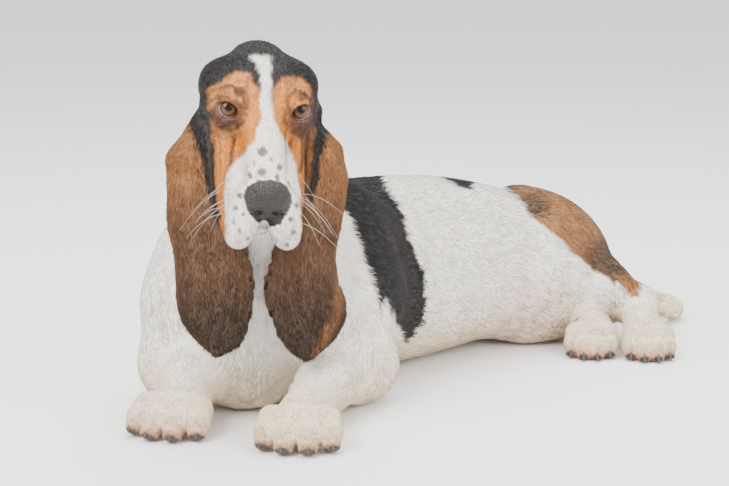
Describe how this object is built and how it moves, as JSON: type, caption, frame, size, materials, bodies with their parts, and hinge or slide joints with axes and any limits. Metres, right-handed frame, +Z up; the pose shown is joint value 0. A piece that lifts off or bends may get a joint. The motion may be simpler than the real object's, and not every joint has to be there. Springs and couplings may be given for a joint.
{
  "type": "basset hound",
  "caption": "Life-size basset hound lying down with its head up and hips rolled on one side, long ears hanging, hind feet to one side; a still animal for a room or yard scene.",
  "frame": {"origin": "centre of the bounding box's base, on the floor", "axes": "+Z up, +Y from the head to the rump along the trunk, +X to the side the hind feet lie on"},
  "size_m": [0.3635, 0.9211, 0.429],
  "materials": {
    "coat_white": "short smooth coat, white",
    "coat_tan": "short smooth coat, tan",
    "coat_brown": "short smooth coat, dark brown",
    "nose_leather": "moist leather",
    "eye_brown": "wet, glossy",
    "claw_horn": "smooth horn"
  },
  "bodies": {
    "root": {"head": "coat_tan", "neck": "coat_white", "thorax": "coat_white", "abdomen": "coat_white", "hindquarters": "coat_tan", "tail": "coat_white", "foreleg_left": "coat_white", "foreleg_right": "coat_white", "forepaw_left": "coat_white", "forepaw_right": "coat_white", "hindleg_left": "coat_white", "hindleg_right": "coat_white", "hindpaw_left": "coat_white", "hindpaw_right": "coat_white", "nose": "nose_leather", "eye_left": "eye_brown", "eye_right": "eye_brown", "ear_left": "coat_brown", "ear_right": "coat_brown", "claw_fore_left_1": "claw_horn", "claw_fore_left_2": "claw_horn", "claw_fore_left_3": "claw_horn", "claw_fore_left_4": "claw_horn", "claw_fore_right_1": "claw_horn", "claw_fore_right_2": "claw_horn", "claw_fore_right_3": "claw_horn", "claw_fore_right_4": "claw_horn", "claw_hind_left_1": "claw_horn", "claw_hind_left_2": "claw_horn", "claw_hind_left_3": "claw_horn", "claw_hind_left_4": "claw_horn", "claw_hind_right_1": "claw_horn", "claw_hind_right_2": "claw_horn", "claw_hind_right_3": "claw_horn", "claw_hind_right_4": "claw_horn"}
  },
  "joints": []
}
